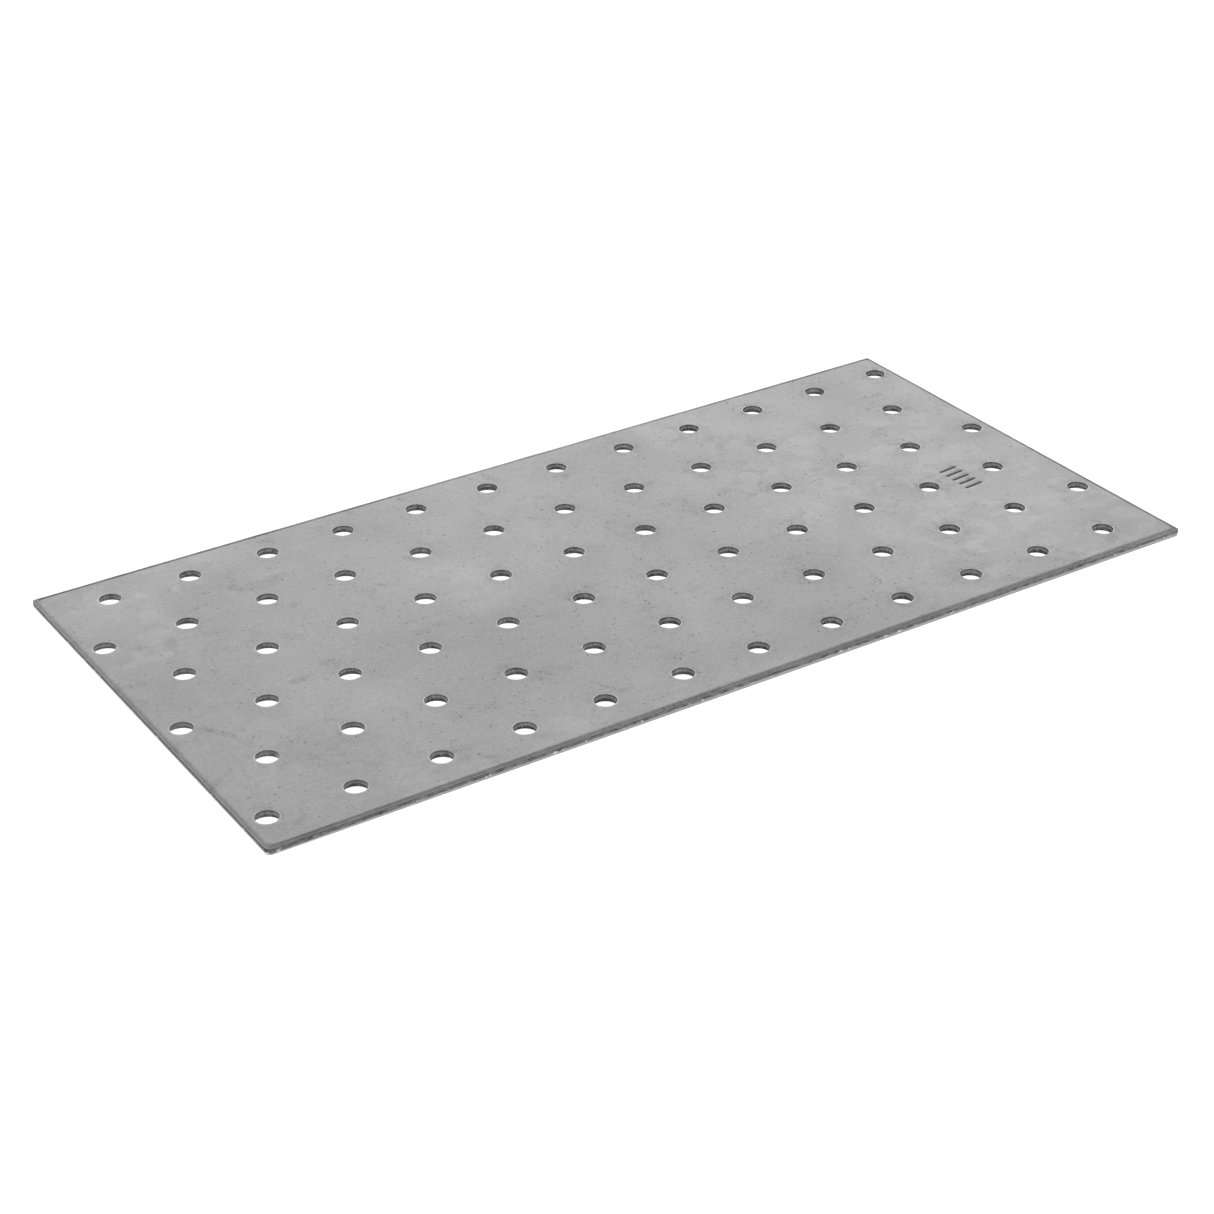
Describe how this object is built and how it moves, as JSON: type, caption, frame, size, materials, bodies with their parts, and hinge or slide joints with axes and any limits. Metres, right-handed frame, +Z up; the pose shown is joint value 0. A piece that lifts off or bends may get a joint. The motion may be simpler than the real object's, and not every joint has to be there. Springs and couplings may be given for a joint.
{
  "type": "perforated nail plate",
  "caption": "Flat rectangular plate of galvanised sheet steel, punched all over with staggered round nail holes, for nailing timbers together.",
  "frame": {"origin": "middle of the underside", "axes": "+X along the plate, +Y across it, +Z up through its thickness, out of the face it was punched from"},
  "size_m": [0.24, 0.12, 0.002],
  "materials": {
    "galvanised_sheet": "dull hot-dip zinc, softly clouded, with sheared bare-steel edges"
  },
  "bodies": {
    "root": {"perforated_plate": "galvanised_sheet"}
  },
  "joints": []
}
